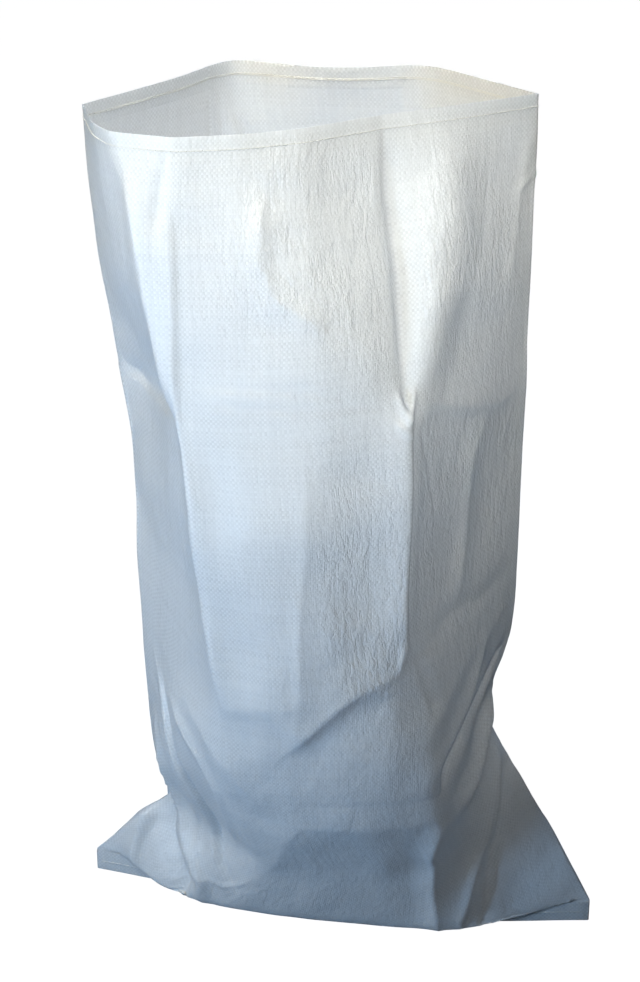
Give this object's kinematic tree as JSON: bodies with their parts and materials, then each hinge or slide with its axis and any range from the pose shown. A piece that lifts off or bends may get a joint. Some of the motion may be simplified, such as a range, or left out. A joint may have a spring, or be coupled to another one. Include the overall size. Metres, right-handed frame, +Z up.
{
  "type": "rubble sack",
  "caption": "Empty open-mouthed sack of woven plastic, standing creased on its sewn bottom seam, with a hemmed mouth and two flat bottom ears.",
  "frame": {"origin": "on the floor, under the middle of the standing sack", "axes": "+Z up to the mouth, front towards -Y, +X to the right seen from the front"},
  "size_m": [0.538, 0.3402, 0.892],
  "materials": {
    "fabric": "white woven polypropylene tape, slightly glossy",
    "thread": "matt white sewing thread"
  },
  "bodies": {
    "root": {"sack_body": "fabric", "bottom_needle_thread": "thread", "bottom_looper_thread": "thread", "hem_needle_thread": "thread", "hem_looper_thread": "thread"}
  },
  "joints": []
}
